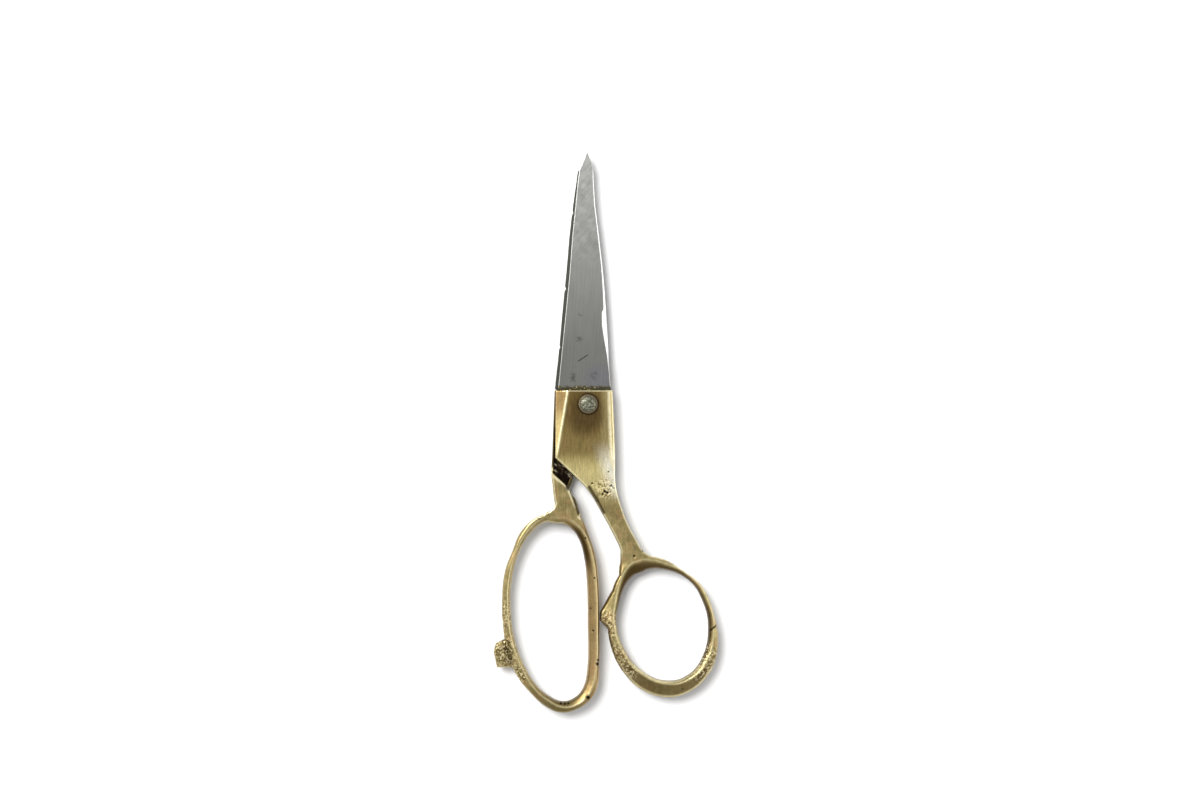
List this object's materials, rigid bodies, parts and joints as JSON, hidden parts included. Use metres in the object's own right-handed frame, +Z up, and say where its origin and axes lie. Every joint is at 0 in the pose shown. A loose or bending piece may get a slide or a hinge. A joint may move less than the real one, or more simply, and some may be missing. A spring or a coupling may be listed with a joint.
{
  "type": "wick trimming shears",
  "caption": "Bypass shears with tapered steel blades in cast brass handles, a round thumb bow and a long finger bow, turning on a peened rivet.",
  "frame": {"origin": "centre of the rivet tail's flat lower end, on the pivot axis, where the shears rest", "axes": "+Y from the pivot to the blade tips, +Z up through the thumb half along the pivot axis, +X towards the thumb bow"},
  "size_m": [0.0813, 0.2027, 0.0122],
  "materials": {
    "blade_steel": "ground satin steel with fine scratches, blackened on the tang",
    "cast_brass": "aged cast brass, brushed on the bolster, pitted on the bows",
    "rivet_steel": "dull hammered steel"
  },
  "bodies": {
    "finger_half": {"finger_blade": "blade_steel", "finger_handle": "cast_brass", "pivot_rivet": "rivet_steel", "head_washer": "rivet_steel", "tail_washer": "rivet_steel"},
    "thumb_half": {"thumb_blade": "blade_steel", "thumb_handle": "cast_brass"}
  },
  "joints": [
    {"name": "blade_pivot", "type": "hinge", "parent": "finger_half", "child": "thumb_half", "pos_m": [0, 0, 0.0061], "axis": [0, 0, 1], "range_deg": [0, 125]}
  ]
}
